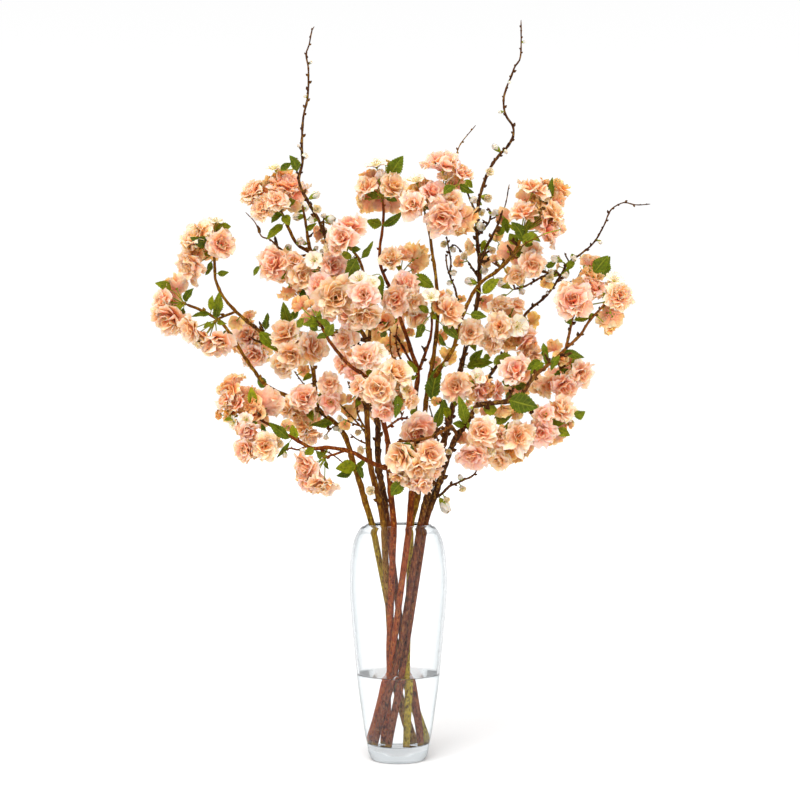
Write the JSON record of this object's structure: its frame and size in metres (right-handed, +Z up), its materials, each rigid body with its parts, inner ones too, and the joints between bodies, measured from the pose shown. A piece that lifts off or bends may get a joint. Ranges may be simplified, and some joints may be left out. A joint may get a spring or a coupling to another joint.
{
  "type": "peach blossom branch arrangement in a glass vase",
  "caption": "Cut branches of double peach blossom with leaves and bare budding twigs, standing in a tall clear glass vase part filled with water.",
  "frame": {"origin": "middle of the round foot of the vase, on the surface it stands on", "axes": "+X to the viewer's right across the widest spread of the branches, +Y away from the viewer, +Z up along the vase"},
  "size_m": [0.6988, 0.3337, 1.0235],
  "materials": {
    "vase_glass": "clear, smooth and glossy",
    "water": "clear still water with a faint blue-grey tint",
    "olive_bark": "matt olive-brown young bark",
    "brown_bark": "matt brown bark",
    "red_brown_bark": "matt red-brown bark",
    "dark_bark": "matt dark purple-brown bark",
    "petal": "thin soft petals, peach pink with cream edges",
    "small_blossom": "thin white to cream petals and pale yellow buds",
    "leaf": "thin olive green leaves with paler veins",
    "green_stalk": "fine green flower stalks and calyxes",
    "stamen": "fine yellow stamens"
  },
  "bodies": {
    "root": {"vase": "vase_glass", "water": "water", "stem_far_left": "olive_bark", "stem_left": "brown_bark", "stem_dark_left": "dark_bark", "stem_front_left": "red_brown_bark", "stem_centre": "red_brown_bark", "stem_olive": "olive_bark", "stem_dark_right": "dark_bark", "stem_right": "dark_bark", "blossoms_upper_left": "petal", "blossoms_far_left": "petal", "blossoms_left_arc": "petal", "blossoms_left_fork": "petal", "blossoms_left_middle": "petal", "blossoms_low_left": "petal", "blossoms_top_left": "petal", "blossoms_upper_pair": "petal", "blossoms_left_shoulder": "petal", "blossoms_crown_left": "petal", "blossoms_shaded_left": "petal", "blossoms_heart_left": "petal", "blossoms_heart_front": "petal", "blossom_calyxes_left": "petal", "blossoms_low_far_left": "petal", "blossoms_low_pair": "petal", "blossoms_hanging_left": "petal", "blossom_nodding": "petal", "blossoms_upper_middle": "petal", "blossoms_hanging_pair": "petal", "blossoms_crown_middle": "petal", "blossoms_crown_right": "petal", "blossoms_shaded_middle": "petal", "blossoms_top_middle": "petal", "blossoms_upper_right": "petal", "blossoms_right_bend": "petal", "blossoms_cabbage": "petal", "blossom_shaded_right": "petal", "blossoms_right_cluster": "petal", "blossoms_far_right": "petal", "blossoms_right_fork": "petal", "blossoms_right_flat": "petal", "blossoms_lower_right": "petal", "blossoms_cup": "petal", "blossoms_low_right": "petal", "blossoms_front_right": "petal"}
  },
  "joints": []
}
